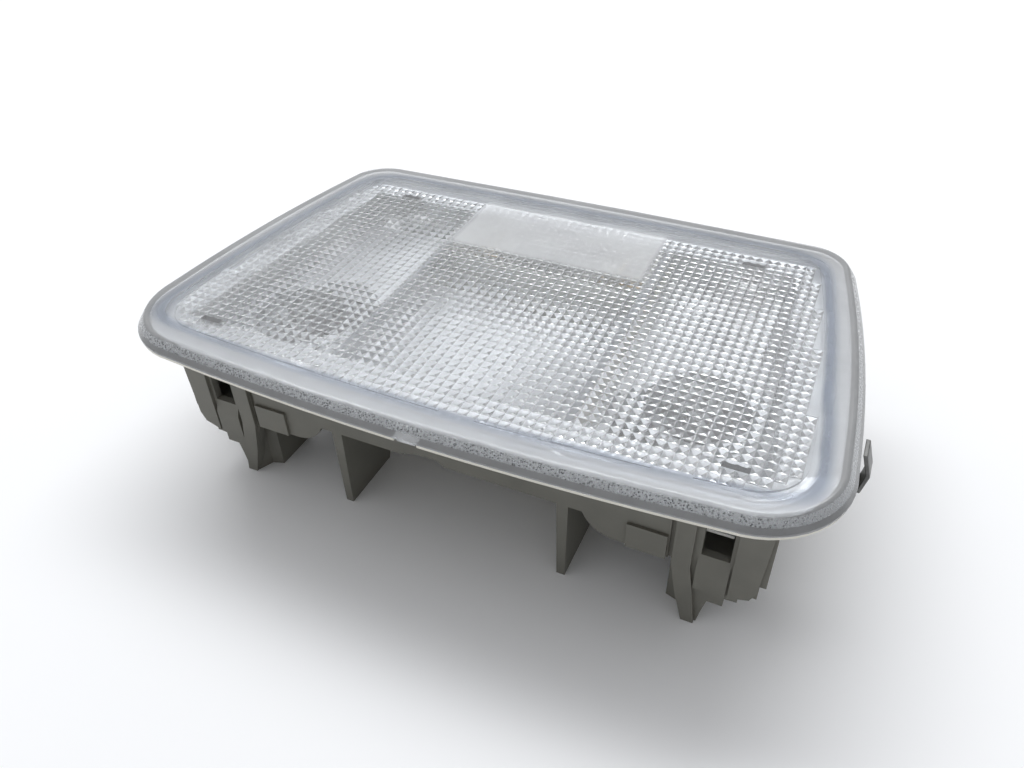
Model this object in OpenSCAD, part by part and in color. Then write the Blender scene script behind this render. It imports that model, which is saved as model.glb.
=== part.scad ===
// Car interior light: clear prismatic lens over a three-bay reflector in a
// moulded base with a centre festoon lamp and two wedge lamps.
// Millimetres, +Z towards the lens, +Y towards the narrow side. The feet stand on z = 0.

/* [Lens] */
// Half width of the lens at its wide edge, measured to the sharp corner
lens_wide_half = 93.4; // [85:0.1:110]
// Half width of the lens at its narrow edge, measured to the sharp corner
lens_narrow_half = 79.2; // [60:0.1:84]
// Depth of the lens from its wide edge to its narrow edge
lens_depth = 115.8; // [110:0.2:130]
// Outward bow of the wide edge
wide_bow = 3; // [0.5:0.1:4]
// Outward bow of the narrow edge
narrow_bow = 0.8; // [0.2:0.1:2]
// Outward bow of the side edges
side_bow = 1.8; // [0.2:0.1:2]
// Corner radius at the wide edge
wide_corner_r = 21; // [14:0.5:26]
// Corner radius at the narrow edge
narrow_corner_r = 13.5; // [13:0.5:20]
// Thickness of the clear plate
lens_plate_t = 2.2; // [1.6:0.1:3]
// Height of the lens edge from its lip to its top face
lens_edge_h = 3.8; // [3.4:0.1:6]
// How far the lip stands out past the top face
lip_flare = 1.8; // [1:0.1:4]
// Rounding of the lens's top edge
lens_edge_round = 1.1; // [0.6:0.1:1.4]
// Thickness of the lens edge wall at its lip
lens_skirt_t = 3.6; // [3:0.1:5]
// Width of the smooth border from the lip to the prisms
lens_border = 9.6; // [7:0.1:12]
// Width of the locating rib round the prisms
lens_rib_w = 2.4; // [1.5:0.1:3]
// Side of one square prism
prism_pitch = 2.5; // [2.4:0.1:5]
// Depth of the prisms
prism_h = 0.9; // [0.4:0.1:1.2]
// Width of each snap leg of the lens
snap_w = 5.8; // [4:0.1:8]
// Thickness of each snap leg of the lens
snap_t = 1.8; // [1.2:0.1:2.4]
// Place of the front snap legs from the middle
snap_front_x = 67.3; // [64.5:0.1:70]
// Place of the rear snap legs from the middle
snap_rear_x = 54; // [48:0.1:58]
// Height of the catch on each snap leg
snap_catch_h = 4.6; // [3:0.1:6]

/* [Reflector] */
// Thickness of the reflector's rim, seen as the pale line under the lens
rim_t = 1; // [0.6:0.1:1.6]
// How far the rim's edge stays inside the lens lip
rim_inset = 0.2; // [0.2:0.1:1.5]
// Wall thickness of the reflector
reflector_wall = 1.4; // [1:0.1:2]
// Half width of the reflector's centre bay
centre_half = 29.5; // [27.5:0.1:31]
// Thickness of the walls between the bays
bay_wall = 2; // [1.4:0.1:2.6]
// Gap between neighbouring mouldings
fit_gap = 0.3; // [0.2:0.05:0.4]

/* [Lamp bowls] */
// Place of each bowl from the middle
bowl_x = 53; // [51.5:0.1:54]
// Place of the bowls along the depth
bowl_y = -15; // [-17:0.1:-13]
// Radius of each bowl at its rim
bowl_r = 16.5; // [15:0.1:17]
// Wall thickness of each bowl
bowl_t = 1.2; // [0.8:0.1:1.6]

/* [Base] */
// Half width of the base tray at its front wall
tray_front_half = 79; // [77.5:0.1:80]
// Half width of the base tray at its rear wall
tray_rear_half = 69; // [66:0.1:71]
// Depth of the base tray
tray_depth = 86.2; // [84:0.1:88]
// Wall thickness of the base
base_wall = 2; // [1.6:0.1:2.4]
// Thickness of the base flange under the rim
flange_t = 2; // [1.5:0.1:3]
// How far the flange's edge stays inside the lens lip
flange_inset = 3; // [2:0.1:5]
// Height of the tray's underside above the feet
belly_z = 25; // [22:0.1:27]
// Height of the side wells' underside above the feet
well_z = 19; // [17:0.1:20]
// Height of the lens top above the feet
overall_h = 50; // [49:0.1:54]
// Place of the leg plates from the middle
leg_x = 31.2; // [30:0.1:33]
// Thickness of the leg plates
leg_t = 2.2; // [1.6:0.1:3]
// Radius of the hole for each bulb socket
socket_hole_r = 8; // [7.6:0.1:8.6]

/* [Lamps] */
// Radius of the festoon bulb's glass
festoon_r = 5.2; // [4.5:0.1:5.5]
// Length of the festoon bulb over its caps
festoon_len = 41; // [38:0.5:43]
// Place of the festoon bulb along the depth
festoon_y = 29.5; // [28.5:0.1:30.5]
// Height of the festoon bulb's axis
festoon_z = 37; // [35.5:0.1:38]
// Radius of a wedge bulb's glass
wedge_r = 4.9; // [4.4:0.1:5.1]
// Length of a wedge bulb
wedge_len = 26.8; // [25:0.1:28]
// Width of a wedge bulb's flat base
wedge_base_w = 9; // [8:0.1:9.4]
// Thickness of a wedge bulb's flat base
wedge_base_t = 4; // [3.4:0.1:4.4]
// Thickness of the bulbs' glass
glass_t = 0.6; // [0.4:0.1:0.8]

/* [Electrical] */
// Thickness of the conductor strips
strip_t = 0.8; // [0.6:0.1:1]
// Width of the conductor strips
strip_w = 3.4; // [2.6:0.1:3.6]
// Inside width of the connector shroud
plug_w = 18; // [16:0.5:20]
// Inside height of the connector shroud
plug_h = 8; // [7:0.1:9]
// Inside depth of the connector shroud
plug_depth = 14; // [12:0.5:15]
// Distance between the connector's blades
blade_pitch = 5; // [4.6:0.1:5.4]

/* [Spring clips] */
// How far the spring clips stand out from the middle
clip_reach = 93.8; // [91:0.1:95]
// Place of the spring clips along the depth
clip_y = -14; // [-20:0.5:0]
// Width of the spring clips
clip_w = 6; // [4:0.5:10]
// Thickness of the spring clips
clip_t = 1; // [0.8:0.1:1.4]
// Height of the catch below the flange
clip_drop = 2.5; // [1.5:0.1:4]

/* [Hidden] */

// Heights, from the feet up
lip_z = overall_h - lens_edge_h;
lens_under_z = overall_h - lens_plate_t;
rim_z = lip_z - rim_t;
flange_z = rim_z - flange_t;
floor_z = belly_z + base_wall;
well_floor_z = well_z + base_wall;
pocket_z = floor_z + fit_gap + reflector_wall + 1.2;
reflector_under_z = pocket_z - reflector_wall;

// Corners and bows of the lens outline, counter-clockwise from the wide edge
wide_y = -lens_depth / 2 + wide_bow;
narrow_y = lens_depth / 2 - narrow_bow;
lens_corners = [[-lens_wide_half, wide_y], [lens_wide_half, wide_y],
    [lens_narrow_half, narrow_y], [-lens_narrow_half, narrow_y]];
corner_radii = [wide_corner_r, wide_corner_r, narrow_corner_r, narrow_corner_r];
edge_bows = [wide_bow, side_bow, narrow_bow, side_bow];
corner_steps = 14;
edge_steps = 10;
round_steps = 3;
slice_t = 0.05;

// Base tray: a symmetric trapezoid, wide at the front
tray_y = tray_depth / 2;
function tray_half(y, inset = 0) =
    tray_front_half + (tray_rear_half - tray_front_half) * (y + tray_y) / tray_depth - inset;
function tray_plan(inset) = [
    [-tray_half(-tray_y + inset, inset), -tray_y + inset],
    [tray_half(-tray_y + inset, inset), -tray_y + inset],
    [tray_half(tray_y - inset, inset), tray_y - inset],
    [-tray_half(tray_y - inset, inset), tray_y - inset]];

function unit(v) = v / norm(v);
function corner_axis(p, v, n) = unit(unit(p - v) + unit(n - v));
function half_angle(p, v, n) = acos(unit(p - v) * unit(n - v)) / 2;

// One rounded corner of the outline, inset by d
function corner_arc(p, v, n, r, d) =
    let (h = half_angle(p, v, n), axis = corner_axis(p, v, n), c = v + axis * r / sin(h),
        start = atan2(-axis[1], -axis[0]) - (90 - h))
    [for (i = [0:corner_steps]) let (a = start + i * (180 - 2 * h) / corner_steps)
        c + (r - d) * [cos(a), sin(a)]];

// Points between two corners, pushed out along a shallow bow
function bowed_edge(a, b, bow) =
    let (out = unit([b[1] - a[1], a[0] - b[0]]))
    [for (i = [1:edge_steps - 1]) let (t = i / edge_steps)
        a + t * (b - a) + 4 * bow * t * (1 - t) * out];

// The lens outline inset by d, counter-clockwise
function lens_outline(d) =
    let (arcs = [for (k = [0:3]) corner_arc(lens_corners[(k + 3) % 4], lens_corners[k],
            lens_corners[(k + 1) % 4], corner_radii[k], d)])
    [for (k = [0:3]) for (q = concat(arcs[k],
            bowed_edge(arcs[k][corner_steps], arcs[(k + 1) % 4][0], edge_bows[k]))) q];

// Half width of an outline at one depth
function half_width(outline, y) = max(concat([0],
    [for (i = [0:len(outline) - 1])
        let (p = outline[i], q = outline[(i + 1) % len(outline)])
        if ((p[1] - y) * (q[1] - y) <= 0 && p[1] != q[1])
            p[0] + (q[0] - p[0]) * (y - p[1]) / (q[1] - p[1])]));

// Prism rows fill the outline inside the border
prism_outline = lens_outline(lens_border);
prism_front_y = -lens_depth / 2 + lens_border;
prism_rows = floor((lens_depth - 2 * lens_border - 2) / prism_pitch);
function prism_count(row) =
    let (y0 = prism_front_y + row * prism_pitch, y1 = y0 + prism_pitch)
    floor(min(half_width(prism_outline, y0 + 0.6), half_width(prism_outline, y1 - 0.1)) / prism_pitch);

// Snap legs: front pair stands behind the front wall, rear pair before the rear wall
snap_front_y = -tray_y + base_wall + fit_gap;
snap_rear_y = tray_y - base_wall - fit_gap;
snap_bottom_z = floor_z + 2;
window_h = 10.5;
window_top_z = snap_bottom_z + snap_catch_h + 0.5;
tab_half = 2.2;
tab_y = [0.6, 1.8];
notch_gap = 0.6;

// Base: wells, plates and legs under the tray, given for the right-hand side
well_round_r = 9;
well_round_x = 44.6;
well_rear_y = 8;
column_x = 57.5;
foot_x = [62, 65.6];
end_plate_profile = [[column_x, well_z + 1], [column_x, well_z], [foot_x[0], 0], [foot_x[1], 0],
    [66.4, 4.7], [67.2, 8.4], [70.8, 8.4], [70.8, 11.1], [73.7, 11.4], [73.7, 13.8], [76.1, 14.6],
    [77.6, 17.4], [77.6, well_z + 1]];
fins = [[69, 8.4], [71.9, 11.3], [75.8, 14.6]];
fin_t = 1.8;
fin_flat = 10;
fin_top_y = -16;
front_leg_foot_y = -24;
front_leg_top_y = -14;
rear_leg_foot_y = 32;
rear_leg_top_y = 22;
outer_leg_x = 57;
outer_leg_y = -26;

// Side view of a leg plate that reaches from a wall plane to its foot and up to the tray
function leg_profile(wall_y, foot_y, top_y) =
    [[wall_y, belly_z + 1], [wall_y, 0], [foot_y, 0], [top_y, belly_z + 1]];
leg_edge_half = [1.1, 1.5];
leg_edge_t = 1.6;

// Raised details on the front wall
panel_x = 47;
panel_top_z = 26.5;
panel_t = 0.8;
rib_profile = [[62.2, 0], [65.2, 0], [64, 9], [62.4, well_z], [62.4, flange_z + 1], [58, flange_z + 1],
    [58, well_z], [59.8, 9]];
pillar_profile = [[71.4, 12.8], [73.7, 13.8], [76.1, 14.6], [77.4, 17.4], [78.8, flange_z + 1],
    [71.4, flange_z + 1]];
rib_t = 1;
sill_x = [63.6, 70.9];
sill_z = [12.5, 22.5];
sill_t = 0.9;

// Connector shroud under the rear of the centre bay
shroud_wall = 1.6;
shroud_y = 26;
shroud_top_z = belly_z - shroud_wall;
latch_w = 4;
latch_y = 8;
blade_w = 2.8;
blade_z = shroud_top_z - plug_h / 2;
blade_end_y = shroud_y + plug_depth - 3;

// Shallow notch in the lower edge of the front wall
front_notch = [[-11.4, belly_z - 1], [-11.4, belly_z + 0.5], [-6.9, belly_z + 1.5], [-2.2, belly_z + 1.6],
    [-0.2, belly_z + 0.5], [-0.2, belly_z - 1]];

// Conductor strips lie against the tray's underside
slot_gap = 0.1;
strip_z = belly_z - strip_t;
well_strip_z = well_z - strip_t;
earth_y = 18.5;
feed_y = 23.3;
door_y = 12.5;
contact_offset = 3;
strip_end_y = bowl_y + 9.7;

// Lamp pan in the rear of the centre bay, and the festoon bulb's clips
pan_y0 = 17;
pan_wall = 1.2;
pan_y1 = tray_y - base_wall - 2 * fit_gap - reflector_wall;
pan_top_z = rim_z - 1.3;
pan_floor_z = festoon_z - festoon_r - 1.2;
cap_len = 7;
cap_r = 4.3;
cap_tip_r = 1.5;
cap_cone = 2.5;
clip_leaf_t = 0.6;
clip_leaf_in = 0.6;
clip_leaf_x = festoon_len / 2 - clip_leaf_in;
clip_tail_out = 3.8;
clip_tail_x = clip_leaf_x + clip_tail_out;
grip_gap = 0.05;
clip_tail_w = 3;
clip_leaf_w = 8;
clip_foot_w = 5;

// Hollow of the pan from the side: a flat floor under the bulb that sweeps up to the rear wall
sweep_y0 = festoon_y + clip_leaf_w / 2 + fit_gap;
sweep_y1 = pan_y1 - pan_wall;
sweep_steps = 8;
pan_hollow = concat([[sweep_y1, rim_z], [pan_y0 + pan_wall, rim_z], [pan_y0 + pan_wall, pan_floor_z]],
    [for (i = [0:sweep_steps]) let (a = 90 * i / sweep_steps)
        [sweep_y0 + (sweep_y1 - sweep_y0) * sin(a), pan_top_z - (pan_top_z - pan_floor_z) * cos(a)]]);

// Bulb sockets
socket_flange_r = 9.4;
socket_flange_t = 2;
socket_body_r = 6.5;
socket_low_z = 5;
socket_top_z = well_floor_z + 2.5;
wedge_low_z = 13.6;
wedge_base_h = 8;
lug_w = 3.4;
lug_reach = 10;
lug_turn = 50;

// Bowls hang from the reflector's floor
bowl_low_z = socket_top_z + 0.3;
bowl_hole_r = 8.8;
bowl_lip = 2;
bowl_lip_t = 0.8;
bowl_steps = 6;

// Spring clips hook over a bracket on each side wall
bracket_reach = 79.5;
hook_reach = 3;
clip_bend = 1;
clip_lean = 1.8;
bracket_half = clip_w / 2 + 1;
bracket_z = [belly_z + 1, flange_z - 3.3];

module clear_colour() { color([0.86, 0.89, 0.92, 0.45]) children(); }
module base_colour() { color([0.55, 0.55, 0.51]) children(); }
module pale_colour() { color([0.90, 0.89, 0.84]) children(); }
module silver_colour() { color([0.76, 0.78, 0.80]) children(); }
module brass_colour() { color([0.78, 0.64, 0.36]) children(); }
module steel_colour() { color([0.55, 0.56, 0.57]) children(); }
module dark_colour() { color([0.20, 0.20, 0.20]) children(); }
module glass_colour() { color([0.92, 0.94, 0.95, 0.4]) children(); }

// A plate of the given outline between two heights
module slab(outline, z0, z1) {
    translate([0, 0, z0])
        linear_extrude(z1 - z0)
            polygon(outline);
}

// A box between two opposite corners
module block(a, b) {
    translate(a)
        cube(b - a);
}

// A front-view profile of x and z points, run along the depth from y0 to y1
module along_depth(profile, y0, y1) {
    translate([0, y1, 0])
        rotate([90, 0, 0])
            linear_extrude(y1 - y0)
                polygon(profile);
}

// A side-view profile of y and z points, run across the width from x0 to x1
module across_width(profile, x0, x1) {
    translate([x0, 0, 0])
        rotate([90, 0, 90])
            linear_extrude(x1 - x0)
                polygon(profile);
}

// Right-hand shape and its mirror image
module both_sides() {
    children();
    mirror([1, 0, 0])
        children();
}

// Boundary of the prism field as grid corners, counter-clockwise from the front left
prism_counts = [for (j = [0:prism_rows - 1]) prism_count(j)];
widest = max(prism_counts);
widest_row = [for (j = [0:prism_rows - 1]) if (prism_counts[j] == widest) j][0];
last_row = prism_rows - 1;
function steps_between(a, b) = a < b ? [for (i = [a + 1:b]) i] : a > b ? [for (i = [a - 1:-1:b]) i] : [];
right_boundary = [for (j = [0:last_row])
    for (q = concat([[prism_counts[j], j + 1]],
        j < last_row ? [for (i = steps_between(prism_counts[j], prism_counts[j + 1])) [i, j + 1]] : [])) q];
front_boundary = [for (i = [-prism_counts[0]:prism_counts[0]]) [i, 0]];
rear_boundary = [for (i = steps_between(prism_counts[last_row], -prism_counts[last_row])) [i, prism_rows]];
left_boundary = [for (k = [len(right_boundary) - 2:-1:0]) [-right_boundary[k][0], right_boundary[k][1]]];
prism_boundary = concat(front_boundary, right_boundary, rear_boundary, left_boundary);

// Square pyramids on a common plate, points down
module prism_field(top_z, base_z, tip_z) {
    columns = 2 * widest + 1;
    grid_count = columns * (prism_rows + 1);
    boundary_count = len(prism_boundary);
    cells = [for (j = [0:last_row]) for (i = [-prism_counts[j]:prism_counts[j] - 1]) [i, j]];
    grid = [for (j = [0:prism_rows]) for (i = [-widest:widest])
        [i * prism_pitch, prism_front_y + j * prism_pitch, base_z]];
    rim = [for (q = prism_boundary) [q[0] * prism_pitch, prism_front_y + q[1] * prism_pitch, top_z]];
    tips = [for (q = cells)
        [(q[0] + 0.5) * prism_pitch, prism_front_y + (q[1] + 0.5) * prism_pitch, tip_z]];
    function at(i, j) = j * columns + i + widest;
    hub = grid_count + boundary_count + len(cells);
    hub_y = prism_front_y + widest_row * prism_pitch;
    top_faces = [for (m = [0:boundary_count - 1])
        [hub, grid_count + (m + 1) % boundary_count, grid_count + m]];
    side_faces = [for (m = [0:boundary_count - 1])
        let (n = (m + 1) % boundary_count, p = prism_boundary[m], q = prism_boundary[n])
        [grid_count + m, grid_count + n, at(q[0], q[1]), at(p[0], p[1])]];
    prism_faces = [for (c = [0:len(cells) - 1])
        let (i = cells[c][0], j = cells[c][1], tip = grid_count + boundary_count + c,
            ring = [at(i, j), at(i + 1, j), at(i + 1, j + 1), at(i, j + 1)])
        for (k = [0:3]) [ring[k], ring[(k + 1) % 4], tip]];
    polyhedron(points = concat(grid, rim, tips, [[0, hub_y, top_z]]),
        faces = concat(top_faces, side_faces, prism_faces));
}

// Snap leg of the lens with its catch pointing along the given direction
module snap_leg(x, y, direction) {
    inner = y;
    outer = y + direction * snap_t;
    catch_y = y - direction * (base_wall + fit_gap - 0.1);
    block([x - snap_w / 2, min(inner, outer), snap_bottom_z],
        [x + snap_w / 2, max(inner, outer), lens_under_z + 0.5]);
    across_width([[inner, snap_bottom_z], [inner, snap_bottom_z + snap_catch_h],
        [catch_y, snap_bottom_z + snap_catch_h], [catch_y, snap_bottom_z + snap_catch_h / 2]],
        x - snap_w / 2, x + snap_w / 2);
}

// One slice of the lens's rounded top edge, from its side (0 degrees) to its top (90)
module edge_slice(turn) {
    z = overall_h - lens_edge_round * (1 - sin(turn));
    slab(lens_outline(lip_flare + lens_edge_round * (1 - cos(turn))), z - slice_t, z);
}

// Clear lens: smooth plate, flared edge, prisms underneath, locating rib, snap legs and pry tab
module lens() {
    clear_colour() {
        difference() {
            hull() {
                slab(lens_outline(0), lip_z, lip_z + 0.6);
                for (i = [0:round_steps])
                    edge_slice(90 * i / round_steps);
            }
            slab(lens_outline(lens_skirt_t), lip_z - 1, lens_under_z);
        }
        difference() {
            slab(lens_outline(lens_border - lens_rib_w), lens_under_z - 1, lens_under_z + 0.5);
            slab(lens_outline(lens_border), lens_under_z - 2, lens_under_z + 1);
        }
        prism_field(lens_under_z + 1, lens_under_z - 0.3, lens_under_z - 0.3 - prism_h);
        both_sides() {
            snap_leg(snap_front_x, snap_front_y, 1);
            snap_leg(snap_rear_x, snap_rear_y, -1);
        }
        block([-tab_half, -lens_depth / 2 + tab_y[0], rim_z],
            [tab_half, -lens_depth / 2 + tab_y[1], lip_z + 0.5]);
    }
}

// Pale rim, bay floors and bay walls in one moulding, silvered inside
module reflector() {
    outer_inset = base_wall + fit_gap;
    inner_inset = outer_inset + reflector_wall;
    inner_y = tray_y - inner_inset;
    bay_x = centre_half + bay_wall;
    pocket_top = lip_z + 1;
    pale_colour() difference() {
        union() {
            slab(lens_outline(rim_inset), rim_z, lip_z);
            slab(tray_plan(outer_inset), reflector_under_z, rim_z + rim_t / 2);
        }
        both_sides() {
            slab([[bay_x, -inner_y], [tray_half(-inner_y, inner_inset), -inner_y],
                [tray_half(inner_y, inner_inset), inner_y], [bay_x, inner_y]], pocket_z, pocket_top);
            translate([bowl_x, bowl_y, reflector_under_z - 1])
                cylinder(r = bowl_r - bowl_lip, h = pocket_z, $fn = 64);
            snap_slot(snap_front_x, snap_front_y, 1);
            snap_slot(snap_rear_x, snap_rear_y, -1);
        }
        block([-centre_half, -inner_y, pocket_z], [centre_half, pan_y0 - fit_gap, pocket_top]);
        block([-centre_half, pan_y0 - fit_gap - 1, reflector_under_z - 1],
            [centre_half, inner_y, pocket_top]);
        block([-tab_half - notch_gap, -lens_depth, rim_z - 1],
            [tab_half + notch_gap, -lens_depth / 2 + tab_y[1] + notch_gap, lip_z + 1]);
    }
}

// Clearance for a snap leg, from above the rim down through the bay
module snap_slot(x, y, direction) {
    near = y - direction * fit_gap;
    far = y + direction * (snap_t + fit_gap);
    block([x - snap_w / 2 - fit_gap, min(near, far), reflector_under_z - 1],
        [x + snap_w / 2 + fit_gap, max(near, far), lip_z + 1]);
}

// White pan behind the festoon bulb
module lamp_pan() {
    half = centre_half - fit_gap;
    pale_colour() difference() {
        block([-half, pan_y0, floor_z], [half, pan_y1, pan_top_z]);
        across_width(pan_hollow, -half + pan_wall, half - pan_wall);
        block([-half + pan_wall, pan_y0 + pan_wall, floor_z - 1],
            [half - pan_wall, pan_y1 - pan_wall, pan_floor_z - pan_wall]);
        both_sides()
            tail_slot();
    }
}

// Slot that a bulb clip's tail passes through
module tail_slot() {
    block([clip_tail_x - 0.2, festoon_y - clip_tail_w / 2 - 0.2, belly_z - 1],
        [clip_tail_x + clip_leaf_t + 0.2, festoon_y + clip_tail_w / 2 + 0.2, pan_floor_z + 1]);
}

// Bright bowl round a wedge bulb, hung by its lip
module bowl_shape() {
    rise = pocket_z - bowl_low_z;
    mouth = bowl_r - bowl_lip - fit_gap - bowl_t;
    inner = [for (i = [0:bowl_steps]) let (t = i / bowl_steps)
        [bowl_hole_r + (mouth - bowl_hole_r) * sqrt(t), bowl_low_z + rise * t]];
    outer = [for (i = [bowl_steps:-1:0]) inner[i] + [bowl_t, 0]];
    translate([bowl_x, bowl_y, 0])
        rotate_extrude($fn = 64)
            polygon(concat(inner, [[mouth, pocket_z + bowl_lip_t], [bowl_r, pocket_z + bowl_lip_t],
                [bowl_r, pocket_z]], outer));
}

module right_bowl() {
    silver_colour() bowl_shape();
}

module left_bowl() {
    silver_colour() mirror([1, 0, 0]) bowl_shape();
}

// Solids on the right-hand side under the tray
module side_solids() {
    intersection() {
        union() {
            block([well_round_x, -tray_y, well_z], [tray_front_half, well_rear_y, belly_z + 1]);
            translate([well_round_x, well_rear_y, well_z + well_round_r])
                rotate([90, 0, 0])
                    cylinder(r = well_round_r, h = tray_y + well_rear_y, $fn = 64);
        }
        slab(tray_plan(0), 0, rim_z);
    }
    along_depth(end_plate_profile, -tray_y, -tray_y + base_wall);
    for (fin = fins)
        across_width([[-tray_y, well_z + 1], [-tray_y, fin[1]], [-tray_y + fin_flat, fin[1]],
            [fin_top_y, well_z + 1]], fin[0], fin[0] + fin_t);
    slab(outer_foot_plan, 0, well_z + 1);
    front_details();
    across_width(leg_profile(-tray_y, front_leg_foot_y, front_leg_top_y),
        leg_x - leg_t / 2, leg_x + leg_t / 2);
    across_width(leg_profile(tray_y, rear_leg_foot_y, rear_leg_top_y),
        leg_x - leg_t / 2, leg_x + leg_t / 2);
    across_width(leg_profile(tray_y, rear_leg_foot_y, rear_leg_top_y),
        outer_leg_x - leg_t, outer_leg_x);
    along_depth([[outer_leg_x - 1, belly_z + 1], [outer_leg_x - 1, 0], [outer_leg_x + 2, 0],
        [outer_leg_x + 5, 8], [outer_leg_x + 9, belly_z + 1]], tray_y - base_wall, tray_y);
    block([tray_half(clip_y) - 4, clip_y - bracket_half, bracket_z[0]],
        [bracket_reach, clip_y + bracket_half, bracket_z[1]]);
}

// Leg edge, panel, rib, pillar and sill on the front wall's right-hand side
module front_details() {
    along_depth([[leg_x - leg_edge_half[0], 0], [leg_x + leg_edge_half[0], 0],
        [leg_x + leg_edge_half[1], belly_z + 1], [leg_x - leg_edge_half[1], belly_z + 1]],
        -tray_y, -tray_y + leg_edge_t);
    block([panel_x, -tray_y - panel_t, well_z], [column_x - 1, -tray_y + 1, panel_top_z]);
    for (profile = [rib_profile, pillar_profile])
        along_depth(profile, -tray_y - rib_t, -tray_y + 1);
    across_width([[-tray_y + 1, sill_z[0]], [-tray_y - sill_t, sill_z[0]],
        [-tray_y - sill_t, sill_z[1] - 3 * sill_t], [-tray_y, sill_z[1]], [-tray_y + 1, sill_z[1]]],
        sill_x[0], sill_x[1]);
}

// Stepped wall of the outer front foot, in plan
outer_foot_plan = [[foot_x[1], -tray_y], [foot_x[0], -tray_y], [60.2, -39.3], [outer_leg_x, -38.3],
    [outer_leg_x, outer_leg_y], [outer_leg_x + base_wall, outer_leg_y],
    [outer_leg_x + base_wall, -36.6], [61.4, -37.6], [foot_x[1], -41.4]];

// Hollows cut from the right-hand side
module side_hollows() {
    intersection() {
        union() {
            block([well_round_x, -tray_y, well_floor_z], [tray_front_half, well_rear_y - base_wall, rim_z]);
            translate([well_round_x, well_rear_y - base_wall, well_z + well_round_r])
                rotate([90, 0, 0])
                    cylinder(r = well_round_r - base_wall, h = tray_y + well_rear_y, $fn = 64);
        }
        slab(tray_plan(base_wall), 0, rim_z);
    }
    translate([bowl_x, bowl_y, well_z - 1])
        cylinder(r = socket_hole_r, h = base_wall + 2, $fn = 64);
    block([bowl_x - lug_w / 2 - fit_gap, bowl_y - lug_reach - fit_gap, well_z - 1],
        [bowl_x + lug_w / 2 + fit_gap, bowl_y + lug_reach + fit_gap, well_floor_z + 1]);
    block([snap_front_x - snap_w / 2 - fit_gap, -tray_y - 1, window_top_z - window_h],
        [snap_front_x + snap_w / 2 + fit_gap, -tray_y + base_wall + 1, window_top_z]);
    block([snap_rear_x - snap_w / 2 - fit_gap, tray_y - base_wall - 1, floor_z],
        [snap_rear_x + snap_w / 2 + fit_gap, tray_y + 1, window_top_z]);
    block([column_x - 0.6, -tray_y - 1, well_z - 1], [column_x + 0.4, -tray_y + 0.6, well_z + 13]);
    tail_slot();
}

// Moulded base: flange, tray, side wells, legs, fins, clip brackets and connector shroud
module housing() {
    shroud_half = plug_w / 2 + shroud_wall;
    shroud_low_z = shroud_top_z - plug_h - shroud_wall;
    base_colour() difference() {
        union() {
            slab(lens_outline(flange_inset), flange_z, rim_z);
            slab(tray_plan(0), belly_z, rim_z);
            both_sides()
                side_solids();
            block([-shroud_half, shroud_y, shroud_low_z],
                [shroud_half, shroud_y + shroud_wall + plug_depth, belly_z + 1]);
        }
        slab(tray_plan(base_wall), floor_z, rim_z + 1);
        both_sides()
            side_hollows();
        block([-plug_w / 2, shroud_y + shroud_wall, shroud_low_z + shroud_wall],
            [plug_w / 2, shroud_y + plug_depth + 3, shroud_top_z]);
        block([-latch_w / 2, shroud_y + latch_y, shroud_low_z - 1],
            [latch_w / 2, shroud_y + latch_y + latch_w, shroud_low_z + shroud_wall + 1]);
        for (i = [-1:1])
            translate([i * blade_pitch, shroud_y - 1, blade_z])
                block([-blade_w / 2 - slot_gap, 0, -strip_t / 2 - slot_gap],
                    [blade_w / 2 + slot_gap, shroud_wall + 2, strip_t / 2 + slot_gap]);
        along_depth(front_notch, -tray_y - 1, -tray_y + base_wall);
    }
}

// Glass tube of the festoon bulb, lying along the width
module festoon_glass() {
    neck_r = cap_r - 0.5;
    neck_x = festoon_len / 2 - cap_len;
    body_x = neck_x - 2.5;
    end_x = neck_x + 2;
    outer = [[-end_x, 0], [-end_x, neck_r], [-neck_x, neck_r], [-body_x, festoon_r], [body_x, festoon_r],
        [neck_x, neck_r], [end_x, neck_r], [end_x, 0]];
    inner = [[end_x + 1, 0], [end_x + 1, neck_r - glass_t], [neck_x, neck_r - glass_t],
        [body_x, festoon_r - glass_t], [-body_x, festoon_r - glass_t], [-neck_x, neck_r - glass_t],
        [-end_x - 1, neck_r - glass_t], [-end_x - 1, 0]];
    glass_colour() festoon_axis() difference() {
        rotate_extrude($fn = 48)
            polygon([for (q = outer) [q[1], q[0]]]);
        rotate_extrude($fn = 48)
            polygon([for (q = inner) [q[1], q[0]]]);
    }
}

// Turns a shape drawn round Z onto the festoon bulb's axis
module festoon_axis() {
    translate([0, festoon_y, festoon_z])
        rotate([0, 90, 0])
            children();
}

// Pointed metal caps on both ends of the festoon bulb
module festoon_caps() {
    neck_x = festoon_len / 2 - cap_len;
    steel_colour() both_sides() festoon_axis()
        rotate_extrude($fn = 48)
            polygon([[cap_r - 0.5, neck_x], [cap_r, neck_x], [cap_r, festoon_len / 2 - cap_cone],
                [cap_tip_r, festoon_len / 2], [0, festoon_len / 2], [0, festoon_len / 2 - cap_cone],
                [cap_r - 0.5, festoon_len / 2 - cap_cone]]);
}

// Filament of the festoon bulb on its lead wires
module festoon_filament() {
    reach = festoon_len / 2 - cap_cone;
    steel_colour() festoon_axis() {
        translate([0, 0, -reach])
            cylinder(r = 0.25, h = 2 * reach, $fn = 16);
        translate([0, 0, -reach / 2])
            cylinder(r = 0.6, h = reach, $fn = 16);
    }
}

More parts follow.
